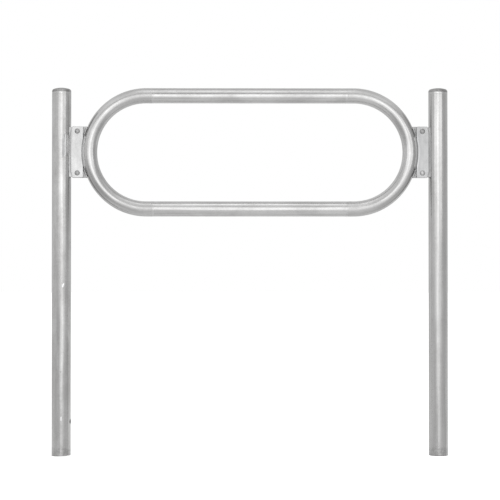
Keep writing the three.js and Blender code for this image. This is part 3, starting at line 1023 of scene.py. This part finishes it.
def bright_ramp(graph, facing, stops):
    """Reads a brightness by compass direction."""
    ramp = graph.add("ShaderNodeValToRGB", graph.rescale(facing, -math.pi, math.pi, 0.0, 1.0))
    elements = ramp.color_ramp.elements
    elements.remove(elements[1])
    for index, (degrees, brightness) in enumerate(stops):
        place = (degrees + 180) / 360
        element = elements[0] if index == 0 else elements.new(place)
        element.position = place
        element.color = grey(brightness / BRIGHTEST)
    return graph.times(ramp.outputs[0], BRIGHTEST)


def sky_card(graph, facing, height, azimuth, elevation, half_width, half_height, brightness):
    off = graph.math("SUBTRACT", facing, math.radians(azimuth))
    aside = graph.math("ABSOLUTE", graph.math("WRAP", off, math.pi, -math.pi))
    above = graph.math("ABSOLUTE", graph.math("SUBTRACT", height, math.radians(elevation)))
    across = graph.rescale(aside, 0, math.radians(half_width), brightness, 0)
    return graph.times(across, graph.rescale(above, 0, math.radians(half_height), 1, 0, True))


def studio_world():
    """White behind the object, and a soft studio round it for everything that the metal mirrors."""
    world = bpy.data.worlds.new("studio")
    bpy.context.scene.world = world
    world.use_nodes = True
    graph = Graph(world.node_tree)
    east, north, up = graph.parts(graph.add("ShaderNodeTexCoord").outputs["Generated"])
    facing = graph.math("ARCTAN2", east, graph.times(north, -1.0))
    height = graph.math("ARCSINE", up)

    def between(low, high, below, above):
        """Goes from one brightness to another between two heights in degrees."""
        share = graph.rescale(height, math.radians(low), math.radians(high), 0, 1, True)
        blend = graph.add("ShaderNodeMix", share, data_type="FLOAT")
        graph.put(blend.inputs[2], below)
        graph.put(blend.inputs[3], above)
        return blend.outputs[0]

    low_walls = bright_ramp(graph, facing, BELOW_EYE_LEVEL)
    walls = between(-6, 2, low_walls, bright_ramp(graph, facing, ABOVE_EYE_LEVEL))
    ceiling = between(62, 78, bright_ramp(graph, facing, OVERHEAD), ZENITH)
    room = between(28, 45, walls, ceiling)
    room = between(-50, -28, bright_ramp(graph, facing, UNDERFOOT), room)
    cards = [sky_card(graph, facing, height, *card) for card in SKY_CARDS]
    seen = graph.add("ShaderNodeLightPath").outputs["Is Camera Ray"]
    studio = graph.add("ShaderNodeBackground", grey(1.0), graph.total(room, *cards))
    white = graph.add("ShaderNodeBackground", grey(1.0), 1.0)
    choose = graph.add("ShaderNodeMixShader", seen, studio.outputs[0], white.outputs[0])
    graph.add("ShaderNodeOutputWorld", choose.outputs[0])


def panel(name, place, aim, width, height, brightness):
    """A soft rectangular lamp whose face has that brightness. The camera doesn't see it."""
    light = bpy.data.lights.new(name, "AREA")
    light.shape = "RECTANGLE"
    light.size = width
    light.size_y = height
    light.energy = brightness * math.pi * width * height
    lamp = add_object(name, light)
    lamp.location = place
    lamp.rotation_euler = (Vector(aim) - Vector(place)).to_track_quat("-Z", "Y").to_euler()
    lamp.visible_camera = False


# Two rows of soft boxes in front of the rack: where each box stands, and how bright it is
UPPER_BOXES = [(-1.4, 0.70), (-0.7, 0.67), (0.0, 0.40), (0.7, 0.60), (1.4, 0.80), (2.1, 0.85)]
LOWER_BOXES = [(-0.7, 0.30), (0.0, 0.60), (0.7, 0.35), (1.4, 0.20), (2.1, 0.10)]


def soft_boxes(name, height, tall, boxes):
    front = -2.0
    width = 0.7
    for number, (x, brightness) in enumerate(boxes):
        place = (x, front, height)
        panel(f"{name}_{number}", place, (x, 0, height), width, tall, brightness)


def studio_floor():
    """A floor that takes the object's shadow, pale for the camera and unseen in the metal."""
    reach = 40
    corners = [(-reach, -reach, 0), (reach, -reach, 0), (reach, reach, 0), (-reach, reach, 0)]
    mesh = bpy.data.meshes.new("floor")
    mesh.from_pydata(corners, [], [(0, 1, 2, 3)])
    floor = add_object("floor", mesh)
    material, graph, shader = surface("pale_floor")
    shader.inputs["Base Color"].default_value = grey(0.5)
    shader.inputs["Roughness"].default_value = 0.9
    shader.inputs["Specular IOR Level"].default_value = 0.0
    shader.inputs["Emission Color"].default_value = grey(1.0)
    seen = graph.add("ShaderNodeLightPath").outputs["Is Camera Ray"]
    graph.put(shader.inputs["Emission Strength"], graph.times(seen, 0.75))
    floor.data.materials.append(material)
    floor.visible_glossy = False


def camera():
    eye = (-0.050, -5.0, 0.577)
    target = Vector((0, 0, 0.6476))
    data = bpy.data.cameras.new("camera")
    data.sensor_width = 36
    data.lens = 113.96
    viewer = add_object("camera", data)
    viewer.location = eye
    viewer.rotation_euler = (target - viewer.location).to_track_quat("-Z", "Y").to_euler()
    bpy.context.scene.camera = viewer


def dress(piece, material, slot, *nodes):
    """Gives a piece its material and its body, and hides the CAD nodes that it stands for. The slot
    is not used.
    """
    piece.data.materials.clear()
    piece.data.materials.append(material)
    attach(piece, "root")
    if nodes:
        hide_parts(*nodes)


def build_rack():
    for side, name in ((-1, "left"), (1, "right")):
        build_post(side, name)
        build_bracket(side, name)
        dress(bend_piece(side, f"{name}_hoop_end"), BEND_ZINC, "hoop_zinc", f"hoop_{name}_bend")
        for row, height in (("top", HOOP_TOP), ("foot", HOOP_FOOT)):
            x = side * (RAIL_END + BEND_START) / 2
            dress(butt_weld(x, height, f"{name}_hoop_weld_{row}"), HOOP_ZINC, "hoop_zinc")
    spilled_zinc()
    upper = rail_piece(HOOP_TOP, "hoop_upper_tube", 0.0)
    lower = rail_piece(HOOP_FOOT, "hoop_lower_tube", 1.7)
    dress(upper, HOOP_ZINC, "hoop_zinc", "hoop_top_rail")
    dress(lower, HOOP_ZINC, "hoop_zinc", "hoop_bottom_rail")


def build_post(side, name):
    tube_zinc = LEFT_ZINC if side < 0 else RIGHT_ZINC
    dress(post_body(side, f"{name}_post_body"), tube_zinc, "post_zinc", f"{name}_post_tube")
    # The cap's zinc is darkened with painted shade.
    dress(cap_piece(side, f"{name}_domed_cap"), SHADED_CAP_ZINC, "post_zinc", f"{name}_post_cap")
    dress(cap_weld(side, f"{name}_cap_weld"), tube_zinc, "post_zinc")


def build_bracket(side, name):
    """The two plates of one side, their welds and their fasteners."""
    inward = -side
    # The right front plate's zinc is a copy darkened with painted shade.
    plate_zinc = LUG_ZINC if side < 0 else SHADED_LUG_ZINC
    dress(post_lug(inward, f"{name}_front_plate"), plate_zinc, "lug_zinc", f"{name}_post_lug")
    # The rear plate's zinc is darkened with painted shade.
    dress(hoop_lug(inward, f"{name}_rear_plate"), SHADED_REAR_LUG_ZINC, "lug_zinc", f"{name}_hoop_lug")
    # The arch's run has pale zinc that partly paints the flank's reflection of the plate.
    dress(arch_bead(inward, f"{name}_front_plate_arch_zinc"), BEAD_ZINC, "lug_zinc")
    # The right front fillet's zinc is darkened with painted shade.
    front_zinc = FILLET_ZINC if side < 0 else SHADE_AND_SKIN_ZINC
    for face, front, material in (("front", True, front_zinc), ("back", False, WELD_ZINC)):
        piece = post_lug_bead(inward, front, f"{name}_front_plate_weld_{face}")
        dress(piece, material, "lug_zinc")
    # The welds above and below get very pale zinc: painted light.
    rear_welds = [
        ("back", -22.5, 22.5, False, WELD_ZINC),
        ("above", 12.4, 23.0, True, PAINTED_LIGHT_BEAD_ZINC),
        ("below", -23.0, -12.4, True, PAINTED_LIGHT_BEAD_ZINC)]
    for place, first, last, front, material in rear_welds:
        piece = hoop_lug_bead(inward, first, last, front, f"{name}_rear_plate_weld_{place}")
        dress(piece, material, "lug_zinc")
    slot = "fastener_zinc"
    for row, up in (("upper", BOLT_HEIGHT), ("lower", -BOLT_HEIGHT)):
        x = inward * (BOLT_REACH - POST_X)
        z = HOOP_MIDDLE + up
        prefix = f"{name}_{row}"
        head_zinc = PALE_BOLT_ZINC if prefix == "right_lower" else BOLT_ZINC
        dress(bolt_piece(x, z, f"{prefix}_domed_bolt"), head_zinc, slot, f"{prefix}_bolt")
        dress(washer_piece(x, z, f"{prefix}_flat_washer"), BOLT_ZINC, slot, f"{prefix}_washer")
        dress(nut_piece(x, z, f"{prefix}_hex_nut"), BOLT_ZINC, slot, f"{prefix}_nut")


def spilled_zinc():
    """What the zinc bath left on the left post: runs over darker skins, and drops. Beside the
    bracket the pale and dark tones of the runs and skins partly paint the post's reflections of the
    hoop and the front plate, and the drops' very pale zinc partly paints their glints. The sizes
    and rises here are in millimetres."""
    def add(name, material, place, size, rise, **form):
        half_width, half_length = size
        size = (half_width * MM, half_length * MM)
        piece = zinc_patch(f"left_post_{name}", place, size, rise * MM, **form)
        dress(piece, material, "post_zinc")

    wide = dict(blunt=8, square=0.6, slant=0.3)
    narrow = dict(blunt=8, square=0.6, slant=1.4)
    add("run_skin", SKIN_ZINC, (50, 0.981), (9.5, 40), 0.3, **wide)
    add("run", RUN_ZINC, (58.5, 0.980), (10.6, 38), 0.8, **wide)
    add("splash_skin", SHADE_AND_SKIN_ZINC, (18, 0.974), (6.0, 38), 0.2, **narrow)
    add("splash", BEAD_ZINC, (30.5, 0.974), (3.6, 36), 0.5, **narrow)
    add("drop_skin", RUN_ZINC, (12, 0.545), (3.2, 9), 0.15, blunt=4)
    add("drop", DROP_ZINC, (17, 0.536), (4.2, 6.5), 0.4, slant=0.8)
    add("small_drop", LEFT_ZINC, (3, 0.265), (2.5, 4), 0.1)
    add("low_drop", DROP_ZINC, (5.5, 0.118), (3.4, 8), 0.12)


def build_studio():
    studio_world()
    studio_floor()
    in_front, over, over_middle = (-0.1, -4.2, 1.6), (-0.05, -0.9, 3.6), (-0.05, -0.9, 3.5)
    hoop = (-0.05, 0, 1.1)
    panel("front_panel", in_front, (-0.1, 0, 1.6), width=1.9, height=1.7, brightness=0.75)
    panel("top_panel", over, hoop, width=1.5, height=0.9, brightness=0.60)
    panel("middle_panel", over_middle, hoop, width=0.7, height=0.9, brightness=0.35)
    soft_boxes("upper_box", 1.28, 0.96, UPPER_BOXES)
    soft_boxes("lower_box", 0.42, 0.76, LOWER_BOXES)
    camera()
    bpy.context.scene.view_settings.view_transform = "Standard"


build_rack()
build_studio()
